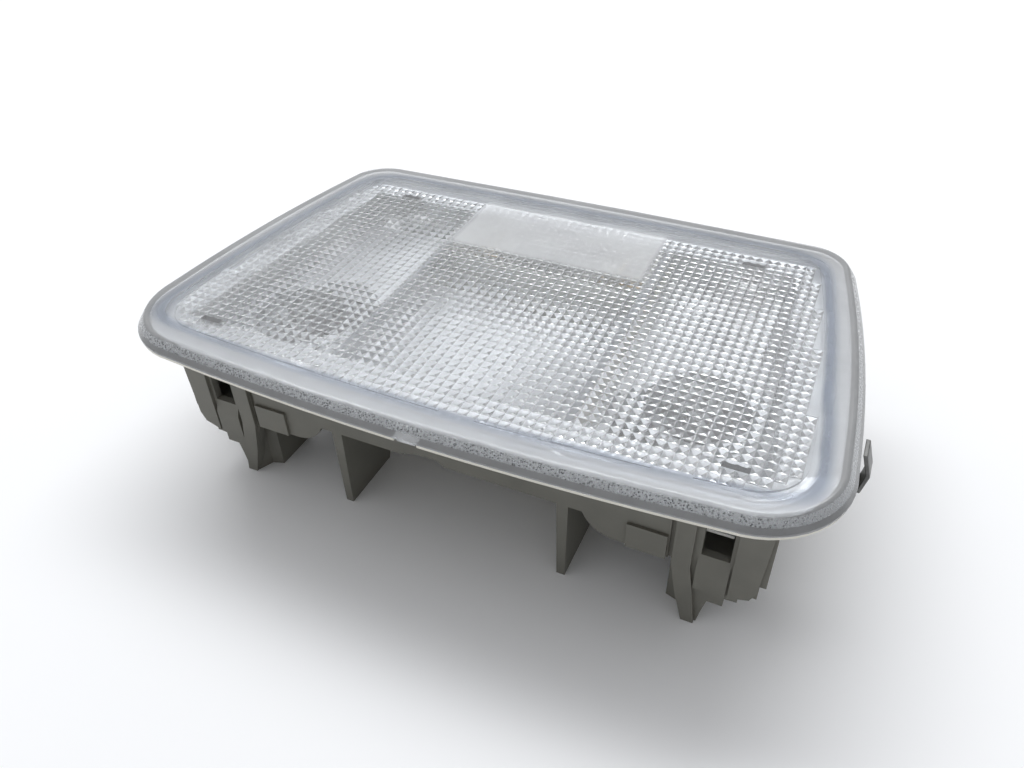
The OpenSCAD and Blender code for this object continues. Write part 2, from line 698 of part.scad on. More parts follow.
// Spring leaf that grips one cap, with a foot and a tail down through the floor
module bulb_clip() {
    foot_z = pan_floor_z;
    inner_x = clip_leaf_x - clip_leaf_t;
    along_cone = (inner_x - festoon_len / 2 + cap_cone) / cap_cone;
    grip_r = cap_r + grip_gap - (cap_r - cap_tip_r) * along_cone;
    difference() {
        block([inner_x, festoon_y - clip_leaf_w / 2, foot_z],
            [clip_leaf_x, festoon_y + clip_leaf_w / 2, festoon_z + cap_r]);
        festoon_axis()
            translate([0, 0, clip_leaf_x - 3])
                cylinder(r = grip_r, h = 6, $fn = 32);
    }
    block([inner_x, festoon_y - clip_foot_w / 2, foot_z],
        [clip_tail_x + clip_leaf_t, festoon_y + clip_foot_w / 2, foot_z + clip_leaf_t]);
    block([clip_tail_x, festoon_y - clip_tail_w / 2, belly_z],
        [clip_tail_x + clip_leaf_t, festoon_y + clip_tail_w / 2, foot_z + clip_leaf_t]);
}

module right_bulb_clip() {
    brass_colour() bulb_clip();
}

module left_bulb_clip() {
    brass_colour() mirror([1, 0, 0]) bulb_clip();
}

// Capless bulb: domed glass on a flat pressed base
module wedge_glass() {
    base_top = wedge_low_z + wedge_base_h;
    dome_z = wedge_low_z + wedge_len - wedge_r;
    translate([bowl_x, bowl_y, 0]) difference() {
        union() {
            translate([0, 0, base_top])
                cylinder(r = wedge_r, h = dome_z - base_top, $fn = 48);
            translate([0, 0, dome_z])
                sphere(r = wedge_r, $fn = 48);
            translate([-wedge_base_w / 2, -wedge_base_t / 2, wedge_low_z])
                cube([wedge_base_w, wedge_base_t, wedge_base_h + 1]);
        }
        translate([0, 0, base_top + 1])
            cylinder(r = wedge_r - glass_t, h = dome_z - base_top - 1, $fn = 48);
        translate([0, 0, dome_z])
            sphere(r = wedge_r - glass_t, $fn = 48);
    }
}

module right_wedge_glass() {
    glass_colour() wedge_glass();
}

module left_wedge_glass() {
    glass_colour() mirror([1, 0, 0]) wedge_glass();
}

// Filament of a wedge bulb between its two lead wires
module wedge_filament() {
    base_top = wedge_low_z + wedge_base_h + 1;
    top_z = base_top + 8;
    translate([bowl_x, bowl_y, 0]) {
        for (x = [-2.5, 2.5])
            translate([x, 0, base_top])
                cylinder(r = 0.25, h = top_z - base_top, $fn = 16);
        translate([-2.8, 0, top_z])
            rotate([0, 90, 0])
                cylinder(r = 0.5, h = 5.6, $fn = 16);
    }
}

module right_wedge_filament() {
    steel_colour() wedge_filament();
}

module left_wedge_filament() {
    steel_colour() mirror([1, 0, 0]) wedge_filament();
}

// Twist-in bulb socket with a grip and two locking lugs
module bulb_socket() {
    translate([bowl_x, bowl_y, 0]) difference() {
        union() {
            translate([0, 0, well_z - socket_flange_t])
                cylinder(r = socket_flange_r, h = socket_flange_t, $fn = 64);
            translate([0, 0, well_z - 0.5])
                cylinder(r = socket_hole_r - fit_gap / 2, h = socket_top_z - well_z + 0.5, $fn = 64);
            translate([0, 0, socket_low_z])
                cylinder(r = socket_body_r, h = well_z - socket_flange_t - socket_low_z + 0.5, $fn = 64);
            rotate([0, 0, lug_turn])
                translate([-lug_w / 2, -lug_reach + 0.5, well_floor_z + 0.1])
                    cube([lug_w, 2 * lug_reach - 1, 1.6]);
            translate([-1.5, -socket_flange_r + 0.6, socket_low_z + 1])
                cube([3, 2 * socket_flange_r - 1.2, well_z - socket_low_z - 2]);
        }
        translate([-wedge_base_w / 2 - 0.1, -wedge_base_t / 2 - 0.1, wedge_low_z])
            cube([wedge_base_w + 0.2, wedge_base_t + 0.2, 20]);
        translate([0, 0, wedge_low_z + wedge_base_h])
            cylinder(r = wedge_r + 0.1, h = 20, $fn = 48);
        for (x = [-contact_offset, contact_offset])
            contact_slot(x);
    }
}

// Room for one socket contact: blade beside the bulb base and tail out to the rear
module contact_slot(x) {
    translate([x - 1.1, wedge_base_t / 2 - 0.1, well_z - socket_flange_t - 1.6])
        cube([2.2, 20, 1.2]);
    translate([x - 1.1, wedge_base_t / 2 - 0.1, well_z - socket_flange_t - 1.6])
        cube([2.2, 0.9, 7]);
}

module right_bulb_socket() {
    dark_colour() bulb_socket();
}

module left_bulb_socket() {
    dark_colour() mirror([1, 0, 0]) bulb_socket();
}

// Two contacts that run from the bulb's base to the conductor strips
module socket_contacts() {
    tail_z = well_z - socket_flange_t - 1.4;
    for (x = [-contact_offset, contact_offset])
        translate([bowl_x + x, bowl_y, 0]) {
            block([-1, wedge_base_t / 2, tail_z], [1, wedge_base_t / 2 + 0.6, tail_z + 6]);
            block([-1, wedge_base_t / 2, tail_z], [1, strip_end_y - bowl_y + 2.6, tail_z + 0.8]);
            block([-1, strip_end_y - bowl_y + 1.8, tail_z], [1, strip_end_y - bowl_y + 2.6, well_strip_z]);
        }
}

module right_socket_contacts() {
    brass_colour() socket_contacts();
}

module left_socket_contacts() {
    brass_colour() mirror([1, 0, 0]) socket_contacts();
}

// Flat run of a conductor strip along the width
module cross_run(x0, x1, y) {
    block([x0, y - strip_w / 2, strip_z], [x1, y + strip_w / 2, belly_z]);
}

// Run from a strip forward, down behind the well and under it to a socket contact
module well_run(x, y) {
    half = strip_w / 2;
    drop_y = well_rear_y;
    block([x - half, drop_y, strip_z], [x + half, y, belly_z]);
    block([x - half, drop_y, well_strip_z], [x + half, drop_y + strip_t, belly_z]);
    block([x - half, strip_end_y, well_strip_z], [x + half, drop_y + strip_t, well_z]);
}

// Blade that drops from a strip and runs back into the connector
module blade_run(i, y) {
    x = i * blade_pitch;
    half = blade_w / 2;
    y0 = y - strip_w / 2;
    low_z = blade_z - strip_t / 2;
    block([x - half, y0, low_z], [x + half, y0 + strip_t, belly_z]);
    block([x - half, y0, low_z], [x + half, blade_end_y, low_z + strip_t]);
}

module earth_strip() {
    reach = bowl_x + contact_offset;
    brass_colour() {
        cross_run(-reach - strip_w / 2, reach + strip_w / 2, earth_y);
        both_sides()
            well_run(reach, earth_y);
        block([-clip_tail_x - 2, earth_y, strip_z], [-clip_tail_x + 1, festoon_y + 2, belly_z]);
        blade_run(-1, earth_y);
    }
}

module door_strip() {
    reach = bowl_x - contact_offset;
    brass_colour() {
        cross_run(-reach - strip_w / 2, reach + strip_w / 2, door_y);
        both_sides()
            well_run(reach, door_y);
        blade_run(0, door_y);
    }
}

module feed_strip() {
    brass_colour() {
        cross_run(blade_pitch - blade_w / 2, clip_tail_x + 2, feed_y);
        block([clip_tail_x - 1, feed_y, strip_z], [clip_tail_x + 2, festoon_y + 2, belly_z]);
        blade_run(1, feed_y);
    }
}

// Bent steel leaf that hooks over its bracket and springs outwards
module spring_clip() {
    seat = bracket_reach;
    low_z = belly_z + 4.5;
    bend_z = low_z + 5.3;
    hook_z = bracket_z[1];
    catch_z = flange_z - clip_drop;
    across = [[seat - hook_reach, hook_z], [seat, hook_z], [seat, low_z], [clip_reach - clip_bend, low_z],
        [clip_reach, bend_z], [clip_reach - clip_lean, catch_z], [clip_reach - clip_lean - clip_t, catch_z],
        [clip_reach - clip_t, bend_z + 0.3], [clip_reach - clip_bend - 0.7, low_z + clip_t],
        [seat + clip_t, low_z + clip_t], [seat + clip_t, hook_z + clip_t],
        [seat - hook_reach, hook_z + clip_t]];
    along_depth(across, clip_y - clip_w / 2, clip_y + clip_w / 2);
}

module right_spring_clip() {
    steel_colour() spring_clip();
}

module left_spring_clip() {
    steel_colour() mirror([1, 0, 0]) spring_clip();
}

housing();
lens();
reflector();
lamp_pan();
left_bowl();
right_bowl();
festoon_glass();
festoon_caps();
festoon_filament();
left_bulb_clip();
right_bulb_clip();
left_wedge_glass();
right_wedge_glass();
left_wedge_filament();
right_wedge_filament();
left_bulb_socket();
right_bulb_socket();
left_socket_contacts();
right_socket_contacts();
earth_strip();
feed_strip();
door_strip();
left_spring_clip();
right_spring_clip();
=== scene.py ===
"""Looks of a car interior light, built round its fixed frame.

Lengths are in metres, +Z towards the lens, +Y towards the narrow side, feet on z = 0.
"""

from math import pi, radians

import bpy
from mathutils import Matrix, Vector


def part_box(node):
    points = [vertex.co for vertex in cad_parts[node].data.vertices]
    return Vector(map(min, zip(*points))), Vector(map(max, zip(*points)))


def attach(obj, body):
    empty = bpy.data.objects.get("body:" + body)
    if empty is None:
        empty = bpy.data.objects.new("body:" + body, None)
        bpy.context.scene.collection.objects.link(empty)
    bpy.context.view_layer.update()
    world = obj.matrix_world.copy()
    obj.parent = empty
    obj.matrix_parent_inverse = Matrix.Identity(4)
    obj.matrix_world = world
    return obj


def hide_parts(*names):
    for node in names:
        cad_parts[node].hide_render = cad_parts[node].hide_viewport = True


bl_info = {
    "name": "Car interior light",
    "version": (1, 0, 0),
    "blender": (4, 5, 0),
    "location": "View3D > Sidebar > Interior Light",
    "description": "Builds the looks of a car interior light round its frame",
    "category": "Object",
}

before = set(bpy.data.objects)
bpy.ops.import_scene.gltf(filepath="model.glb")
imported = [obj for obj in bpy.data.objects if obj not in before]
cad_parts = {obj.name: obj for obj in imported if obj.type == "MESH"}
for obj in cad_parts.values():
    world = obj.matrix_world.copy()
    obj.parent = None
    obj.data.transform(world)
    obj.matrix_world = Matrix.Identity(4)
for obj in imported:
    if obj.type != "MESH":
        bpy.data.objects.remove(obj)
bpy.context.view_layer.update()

MM = 0.001
SIDES = ("left", "right")

# Places that the frame gives
lens_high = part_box("lens")[1]
reflector_low, reflector_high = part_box("reflector")

# Depths below the lens's top
PRISM_ROOT = 2.3 * MM
PRISM_TIP = 3.6 * MM
LIP_DEPTH = 4.2 * MM
STIPPLE_TOP = 0.6 * MM
STIPPLE_FOOT = 2.1 * MM

# Outline of the lens as its finish sees it: a half width that leans and bows, and a bowed front
OUTLINE_HALF_WIDTH = 88.2 * MM
OUTLINE_LEAN = 0.127
OUTLINE_SIDE_BOW = 0.54
OUTLINE_FRONT_BOW = 0.58
OUTLINE_CORNER = 17 * MM

# Walls between the reflector's bays: their distance from the middle, and how far they reach in y
BAY_WALL = (27 * MM, 33 * MM)
BAY_REACH = 39 * MM


class LensSettings(bpy.types.PropertyGroup):
    groove: bpy.props.FloatProperty(
        name="Prism edge", description="Width of the flat between two prisms", default=0.11 * MM,
        unit="LENGTH")
    tint: bpy.props.FloatVectorProperty(
        name="Tint", description="Colour of the clear plastic", default=(0.98, 0.99, 1.0), subtype="COLOR")
    # Painted shade: the bluish band painted into the border beside the prisms
    band_shade_colour: bpy.props.FloatVectorProperty(
        name="Inner band", description="Shade painted into the border beside the prisms",
        default=(0.52, 0.56, 0.63), subtype="COLOR")
    border_milk: bpy.props.FloatProperty(
        name="Border milk", description="How milky the smooth border is", default=0.20)
    # Painted light: a milkier, paler patch of the lens over the lamp pan stands in for the light on the pan
    pan_light_milk: bpy.props.FloatProperty(
        name="Patch milk", description="How milky and pale the lens is painted over the lamp pan", default=0.24)
    grain: bpy.props.FloatProperty(
        name="Stipple grain", description="Size of the stipple's pits", default=0.5 * MM, unit="LENGTH")
    ior: bpy.props.FloatProperty(
        name="Refraction", description="Refractive index of the clear plastic", default=1.49)


class BaseSettings(bpy.types.PropertyGroup):
    edge_round: bpy.props.FloatProperty(
        name="Edge rounding", description="Rounding of the base's edges", default=0.22 * MM, unit="LENGTH")
    colour: bpy.props.FloatVectorProperty(
        name="Base colour", description="Colour of the moulded base", default=(0.195, 0.19, 0.163),
        subtype="COLOR")
    # Colour of the shade painted into the base's corners
    corner_shade: bpy.props.FloatVectorProperty(
        name="Corner shade colour", description="Colour of the shade painted into the corners", default=(0.17, 0.155, 0.125),
        subtype="COLOR")


class ReflectorSettings(bpy.types.PropertyGroup):
    rim_colour: bpy.props.FloatVectorProperty(
        name="Rim colour", description="Colour of the pale rim", default=(0.90, 0.87, 0.77),
        subtype="COLOR")
    silver: bpy.props.FloatVectorProperty(
        name="Silvering", description="Colour of the silvered bays", default=(0.76, 0.775, 0.795),
        subtype="COLOR")
    # Painted shade: the bay walls' top faces get a darker colour than the silvering
    wall_top: bpy.props.FloatVectorProperty(
        name="Wall tops", description="Shade painted on the bay walls' top faces", default=(0.42, 0.435, 0.46),
        subtype="COLOR")
    pan_colour: bpy.props.FloatVectorProperty(
        name="Pan colour", description="Colour of the lamp pan", default=(0.97, 0.96, 0.91),
        subtype="COLOR")


class LampSettings(bpy.types.PropertyGroup):
    coil_turns: bpy.props.IntProperty(
        name="Coil turns", description="Turns of each filament's coil", default=18, min=4, max=40)
    wire: bpy.props.FloatProperty(
        name="Wire radius", description="Radius of a filament's wire", default=0.10 * MM, unit="LENGTH")
    lead: bpy.props.FloatProperty(
        name="Lead radius", description="Radius of the wires that carry a filament", default=0.2 * MM,
        unit="LENGTH")


class MetalSettings(bpy.types.PropertyGroup):
    brass: bpy.props.FloatVectorProperty(
        name="Brass", description="Colour of the strips and contacts", default=(0.72, 0.55, 0.29),
        subtype="COLOR")
    spring_steel: bpy.props.FloatVectorProperty(
        name="Spring steel", description="Colour of the spring clips", default=(0.20, 0.20, 0.195),
        subtype="COLOR")
    plating: bpy.props.FloatVectorProperty(
        name="Plating", description="Colour of the festoon bulb's caps", default=(0.68, 0.66, 0.61),
        subtype="COLOR")


class StageSettings(bpy.types.PropertyGroup):
    camera_place: bpy.props.FloatVectorProperty(
        name="Camera place", description="Where the camera stands", unit="LENGTH",
        default=(0.07821, -0.16669, 0.16804))
    camera_aim: bpy.props.FloatVectorProperty(
        name="Camera aim", description="Point that the camera looks at", unit="LENGTH",
        default=(0.00190, -0.00699, 0.0250))
    camera_roll: bpy.props.FloatProperty(
        name="Camera roll", description="Turn of the camera about its view", subtype="ANGLE",
        default=radians(-1.49))
    focal: bpy.props.FloatProperty(
        name="Focal length", description="Focal length on a 36 mm sensor, in millimetres", default=29.17)
    floor_colour: bpy.props.FloatVectorProperty(
        name="Floor colour", description="Colour of the floor", default=(0.955, 0.955, 0.96),
        subtype="COLOR")
    sky_way: bpy.props.FloatVectorProperty(
        name="Sky direction", description="Where the sky is brightest", subtype="DIRECTION",
        default=(-0.42, 0.52, 0.74))
    sky_dim: bpy.props.FloatVectorProperty(
        name="Dim sky", description="Light from the sky's dim side", default=(0.145, 0.148, 0.154),
        subtype="COLOR")
    sky_bright: bpy.props.FloatVectorProperty(
        name="Bright sky", description="Light from the sky's bright side", default=(0.80, 0.81, 0.83),
        subtype="COLOR")
    window_place: bpy.props.FloatVectorProperty(
        name="Window place", description="Where the window lamp stands", unit="LENGTH",
        default=(-0.22, 0.55, 1.1))
    window_aim: bpy.props.FloatVectorProperty(
        name="Window aim", description="Point that the window lamp faces", unit="LENGTH",
        default=(0, 0, 0.02))
    window_size: bpy.props.FloatVectorProperty(
        name="Window size", description="Width and height of the window lamp", size=2, unit="LENGTH",
        default=(1.5, 0.4))
    window_power: bpy.props.FloatProperty(
        name="Window power", description="Power of the window lamp, in watts", default=10.5)


class InteriorLightSettings(bpy.types.PropertyGroup):
    lens: bpy.props.PointerProperty(type=LensSettings)
    base: bpy.props.PointerProperty(type=BaseSettings)
    reflector: bpy.props.PointerProperty(type=ReflectorSettings)
    lamps: bpy.props.PointerProperty(type=LampSettings)
    metal: bpy.props.PointerProperty(type=MetalSettings)
    stage: bpy.props.PointerProperty(type=StageSettings)


# Selecting and shaping

def deselect_all():
    if bpy.context.object and bpy.context.object.mode != "OBJECT":
        bpy.ops.object.mode_set(mode="OBJECT")
    bpy.ops.object.select_all(action="DESELECT")


def activate(piece):
    deselect_all()
    piece.select_set(True)
    bpy.context.view_layer.objects.active = piece


def choose(piece, kind, test):
    """Leaves only the edges or faces that pass the test selected."""
    mesh = piece.data
    for part in (mesh.vertices, mesh.edges, mesh.polygons):
        part.foreach_set("select", [False] * len(part))
    for element in getattr(mesh, kind):
        if test(element):
            element.select = True


def edit(piece, mode):
    """Enters edit mode on a piece, to work on its vertices, edges or faces."""
    activate(piece)
    bpy.ops.object.mode_set(mode="EDIT")
    bpy.ops.mesh.select_mode(type=mode)


def edit_whole(piece):
    """Enters edit mode with all of a piece selected."""
    activate(piece)
    bpy.ops.object.mode_set(mode="EDIT")
    bpy.ops.mesh.select_all(action="SELECT")


def done():
    bpy.ops.object.mode_set(mode="OBJECT")


def merged_copy(node, name):
    """A piece of its own from a node of the frame, its points merged and its flat faces joined."""
    piece = bpy.data.objects.new(name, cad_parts[node].data.copy())
    bpy.context.scene.collection.objects.link(piece)
    piece.data.materials.clear()
    edit_whole(piece)
    bpy.ops.mesh.remove_doubles(threshold=1e-6)
    bpy.ops.mesh.dissolve_limited(angle_limit=radians(0.5))
    done()
    return piece


def round_edges(piece, width, segments):
    """Rounds the sharp edges of a piece with an applied bevel."""
    activate(piece)
    bevel = piece.modifiers.new("Edge rounding", "BEVEL")
    bevel.width = width
    bevel.segments = segments
    bevel.limit_method = "ANGLE"
    bevel.angle_limit = radians(28)
    bpy.ops.object.modifier_apply(modifier=bevel.name)


def smooth(piece):
    """Smooth shading that stays flat on the broad faces."""
    activate(piece)
    bpy.ops.object.shade_smooth_by_angle(angle=radians(35))
    weighted = piece.modifiers.new("Broad faces", "WEIGHTED_NORMAL")
    weighted.keep_sharp = True
    bpy.ops.object.modifier_apply(modifier=weighted.name)


def cut(piece, place, normal):
    """Cuts every face that crosses a plane, and leaves both sides in place."""
    edit_whole(piece)
    bpy.ops.mesh.bisect(plane_co=place, plane_no=normal)
    done()


def paint(piece, index, test):
    """Gives a material slot to the faces that pass the test."""
    for face in piece.data.polygons:
        if test(face.center, face.normal):
            face.material_index = index


def finish_piece(piece, slot, *nodes):
    """Sets a piece on the frame in place of its nodes."""
    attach(piece, "root")
    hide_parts(*nodes)


def dressed(node, name, slot, material, width, segments=2):
    """A node's shape with rounded edges, smooth shading and its finish."""
    piece = merged_copy(node, name)
    round_edges(piece, width, segments)
    smooth(piece)
    piece.data.materials.append(material)
    finish_piece(piece, slot, node)
    return piece


# Finishes

class Finish:
    """A node material with its shader and the piece's own coordinates."""

    def __init__(self, name):
        self.material = bpy.data.materials.new(name)
        self.material.use_nodes = True
        self.tree = self.material.node_tree
        self.shader = self.tree.nodes["Principled BSDF"]
        self.place = self.add("ShaderNodeTexCoord").outputs["Object"]

    def add(self, kind, **values):
        node = self.tree.nodes.new(kind)
        for key, value in values.items():
            setattr(node, key, value)
        return node

    def link(self, a, b):
        self.tree.links.new(a, b)

    def set(self, **values):
        """Sets the shader's own sockets; an underscore stands for a space in a socket's name."""
        for key, value in values.items():
            self.shader.inputs[key.replace("_", " ")].default_value = value

    def feed(self, **values):
        """Feeds the shader's sockets from other nodes."""
        for key, value in values.items():
            self.link(value, self.shader.inputs[key.replace("_", " ")])

    def scaled(self, size, stretch=(1, 1, 1)):
        """The piece's coordinates, in units of a size in metres."""
        mapping = self.add("ShaderNodeMapping")
        mapping.inputs["Scale"].default_value = [s / size for s in stretch]
        self.link(self.place, mapping.inputs["Vector"])
        return mapping.outputs["Vector"]

    def noise(self, size, detail=3.0, roughness=0.55, stretch=(1, 1, 1)):
        """Noise whose lumps are about the given size in metres."""
        noise = self.add("ShaderNodeTexNoise")
        noise.inputs["Scale"].default_value = 1.0
        noise.inputs["Detail"].default_value = detail
        noise.inputs["Roughness"].default_value = roughness
        self.link(self.scaled(size, stretch), noise.inputs["Vector"])
        return noise.outputs["Fac"]

    def cells(self, size):
        """Distance to the nearest of scattered points, about the given size apart in metres."""
        cells = self.add("ShaderNodeTexVoronoi")
        cells.inputs["Scale"].default_value = 1.0
        self.link(self.scaled(size), cells.inputs["Vector"])
        return cells.outputs["Distance"]

    def stops(self, value, *pairs):
        """Colours at given places along a value that runs from 0 to 1."""
        ramp = self.add("ShaderNodeValToRGB")
        row = ramp.color_ramp.elements
        while len(row) < len(pairs):
            row.new(1.0)
        for stop, (place, colour) in zip(row, pairs):
            stop.position = place
            stop.color = (*colour[:3], 1)
        self.link(value, ramp.inputs["Fac"])
        return ramp.outputs["Color"]

    def ramp(self, value, low, high, at=(0.4, 0.6)):
        """Runs from one colour to another as a value goes between two stops."""
        return self.stops(value, (at[0], low), (at[1], high))

    def spread(self, value, low, high, at=(0.3, 0.7)):
        """Maps a value between two stops to a range of numbers."""
        node = self.add("ShaderNodeMapRange")
        node.inputs["From Min"].default_value = at[0]
        node.inputs["From Max"].default_value = at[1]
        node.inputs["To Min"].default_value = low
        node.inputs["To Max"].default_value = high
        self.link(value, node.inputs["Value"])
        return node.outputs["Result"]

    def maths(self, operation, a, b=0.0, c=0.0):
        """A sum of up to three terms, each a number or another node's result."""
        node = self.add("ShaderNodeMath", operation=operation)
        for socket, value in zip(node.inputs, (a, b, c)):
            if isinstance(value, (int, float)):
                socket.default_value = value
            else:
                self.link(value, socket)
        return node.outputs[0]

    def mixed(self, share, a, b):
        """Colour a, with a share of the plain colour b over it."""
        node = self.add("ShaderNodeMix", data_type="RGBA")
        self.link(share, node.inputs["Factor"])
        self.link(a, node.inputs["A"])
        node.inputs["B"].default_value = (*b[:3], 1)
        return node.outputs["Result"]

    def axes(self):
        """The x, y and z of a point, in metres."""
        split = self.add("ShaderNodeSeparateXYZ")
        self.link(self.place, split.inputs["Vector"])
        return [split.outputs[axis] for axis in "XYZ"]

    def inset(self):
        """How far a point lies inside the lens's outline, in metres."""
        x, y, _ = self.axes()
        front_bow = self.maths("MULTIPLY", self.maths("MULTIPLY", x, x), OUTLINE_FRONT_BOW)
        front = self.maths("SUBTRACT", self.maths("ADD", y, lens_high.y), front_bow)
        rear = self.maths("SUBTRACT", lens_high.y, y)
        side_bow = self.maths("MULTIPLY", self.maths("MULTIPLY", y, y), OUTLINE_SIDE_BOW)
        lean = self.maths("MULTIPLY_ADD", y, -OUTLINE_LEAN, OUTLINE_HALF_WIDTH)
        half = self.maths("SUBTRACT", lean, side_bow)
        side = self.maths("SUBTRACT", half, self.maths("ABSOLUTE", x))
        ends = self.maths("MINIMUM", front, rear)
        return self.maths("SMOOTH_MIN", ends, side, OUTLINE_CORNER)

    def patch(self, half, y0, y1, soft):
        """1 inside a rectangle of the lens and 0 outside it, with soft edges."""
        x, y, _ = self.axes()
        across = self.spread(self.maths("ABSOLUTE", x), 1.0, 0.0, at=(half - soft, half))
        rise = self.spread(y, 0.0, 1.0, at=(y0, y0 + soft))
        fall = self.spread(y, 1.0, 0.0, at=(y1 - soft, y1))
        return self.maths("MULTIPLY", across, self.maths("MULTIPLY", rise, fall))

    def bump(self, value, depth, strength):
        node = self.add("ShaderNodeBump")
        node.inputs["Strength"].default_value = strength
        node.inputs["Distance"].default_value = depth
        self.link(value, node.inputs["Height"])
        self.feed(Normal=node.outputs["Normal"])


def shaded(colour, share):
    return [c * share for c in colour]


def lens_plastic(settings):
    """Clear moulded plastic, milkier in its smooth border, with painted shade that darkens it to a bluish
    band beside the prisms.
    """
    finish = Finish("clear lens plastic")
    tint, band = settings.tint, settings.band_shade_colour
    haze = finish.noise(16 * MM, detail=4)
    inset = finish.inset()
    wander = finish.maths("MULTIPLY_ADD", haze, 1.6 * MM, -0.8 * MM)
    border_reach = 12 * MM
    along = finish.maths("MULTIPLY", finish.maths("ADD", inset, wander), 1 / border_reach)
    border = finish.maths("SUBTRACT", 1.0, finish.spread(inset, 0.0, 1.0, at=(8.8 * MM, 9.8 * MM)))
    # Painted light: the lens is milkier, and so paler, over the lamp pan, standing in for the pan's light
    pan_light_patch = finish.patch(half=30.5 * MM, y0=16.5 * MM, y1=45.5 * MM, soft=3 * MM)
    milk = finish.maths("MULTIPLY_ADD", pan_light_patch, settings.pan_light_milk, finish.spread(haze, 0.08, 0.15))
    clear = finish.maths("SUBTRACT", 1.0, milk)
    border_milk = finish.maths("MULTIPLY", border, settings.border_milk)
    finish.set(IOR=settings.ior)
    finish.feed(
        Transmission_Weight=finish.maths("SUBTRACT", clear, border_milk),
        # Painted shade: the border darkens inwards to a bluish band just outside the prisms
        Base_Color=finish.stops(along, (0.0, tint), (0.30, tint), (0.50, shaded(tint, 0.88)),
                                (0.66, band), (0.74, band), (0.82, tint)),
        Roughness=finish.maths("MULTIPLY_ADD", border, 0.10, finish.spread(haze, 0.02, 0.05)))
    finish.bump(finish.noise(6 * MM, detail=2), depth=0.01 * MM, strength=0.25)
    return finish.material


def edge_plastic(settings):
    """The lip of the lens: milky and glossy."""
    finish = Finish("milky lens edge")
    tone = finish.noise(5 * MM)
    finish.set(IOR=settings.ior, Transmission_Weight=0.7)
    finish.feed(Base_Color=finish.ramp(tone, shaded(settings.tint, 0.92), settings.tint),
                Roughness=finish.spread(tone, 0.04, 0.10))
    return finish.material


def stippled_plastic(settings):
    """Stipple on the lens's long edges: it sparkles, its pits are dark with painted shade, and it fades out
    towards the corners.
    """
    finish = Finish("stippled lens edge")
    grain = finish.cells(settings.grain)
    from_middle = finish.maths("ABSOLUTE", finish.axes()[0])
    long_side = finish.spread(from_middle, 1.0, 0.0, at=(76 * MM, 92 * MM))
    pits = finish.maths("MULTIPLY", long_side, finish.spread(grain, 1.0, 0.0, at=(0.12, 0.50)))
    finish.set(IOR=settings.ior)
    # Painted shade: the pits are coloured near black, as shade in the stipple's hollows
    finish.feed(Transmission_Weight=finish.spread(pits, 0.5, 0.2, at=(0.0, 1.0)),
                Base_Color=finish.ramp(pits, (0.92, 0.94, 0.96), (0.04, 0.045, 0.05), at=(0.0, 0.8)),
                Roughness=finish.spread(grain, 0.08, 0.3))
    finish.bump(pits, depth=0.16 * MM, strength=1.0)
    return finish.material


def base_plastic(settings):
    """Matt moulded plastic, fine grained, with painted shade darkening its corners and paler rubbed
    patches.
    """
    finish = Finish("moulded base plastic")
    patches = finish.noise(14 * MM, detail=5, roughness=0.6)
    tone = finish.ramp(patches, shaded(settings.colour, 0.86), shaded(settings.colour, 1.10), at=(0.3, 0.7))
    # Painted shade: corners that ambient occlusion finds are darkened towards the corner shade colour,
    # speckled by noise
    corners = finish.add("ShaderNodeAmbientOcclusion", samples=8)
    corners.inputs["Distance"].default_value = 5 * MM
    corner_shade_share = finish.spread(corners.outputs["AO"], 0.55, 0.0, at=(0.35, 0.85))
    specks = finish.spread(finish.noise(3 * MM, detail=5, roughness=0.7), 0.5, 1.3)
    finish.feed(Base_Color=finish.mixed(finish.maths("MULTIPLY", corner_shade_share, specks), tone, settings.corner_shade),
                Roughness=finish.spread(patches, 0.48, 0.62))
    finish.bump(finish.noise(0.35 * MM), depth=0.02 * MM, strength=0.5)
    return finish.material


def pale_plastic(name, colour, roughness):
    """Smooth pale plastic, a little uneven in tone and gloss."""
    finish = Finish(name)
    tone = finish.noise(11 * MM, detail=4)
    finish.feed(Base_Color=finish.ramp(tone, shaded(colour, 0.93), colour),
                Roughness=finish.spread(tone, roughness - 0.06, roughness + 0.06))
    finish.bump(finish.noise(0.6 * MM, detail=2), depth=0.01 * MM, strength=0.4)
    return finish.material


def silvering(name, colour, roughness, metallic):
    """Vacuum silvering: bright, softly rippled, a little uneven and dulled by dust."""
    finish = Finish(name)
    cloud = finish.noise(8 * MM, detail=4)
    finish.set(Metallic=metallic)
    finish.feed(Base_Color=finish.ramp(cloud, shaded(colour, 0.92), colour),
                Roughness=finish.spread(cloud, roughness - 0.06, roughness + 0.08))
    finish.bump(finish.noise(2.5 * MM), depth=0.05 * MM, strength=0.3)
    return finish.material


def rolled_metal(name, colour, roughness, lines=(1, 12, 12)):
    """Sheet metal with fine rolling lines and dull stains."""
    finish = Finish(name)
    stain = finish.noise(4 * MM, detail=5, roughness=0.65)
    finish.set(Metallic=1.0)
    finish.feed(Base_Color=finish.ramp(stain, shaded(colour, 0.72), colour, at=(0.32, 0.62)),
                Roughness=finish.spread(stain, roughness + 0.12, roughness - 0.06))
    finish.bump(finish.noise(2 * MM, roughness=0.6, stretch=lines), depth=0.01 * MM, strength=0.5)
    return finish.material


def bulb_glass():
    finish = Finish("bulb glass")
    wave = finish.noise(5 * MM, detail=2)
    finish.set(Transmission_Weight=1.0, IOR=1.5)
    finish.feed(Base_Color=finish.ramp(wave, (0.95, 0.96, 0.96), (0.99, 0.99, 0.99)),
                Roughness=finish.spread(wave, 0.0, 0.03))
    finish.bump(wave, depth=0.02 * MM, strength=0.3)
    return finish.material


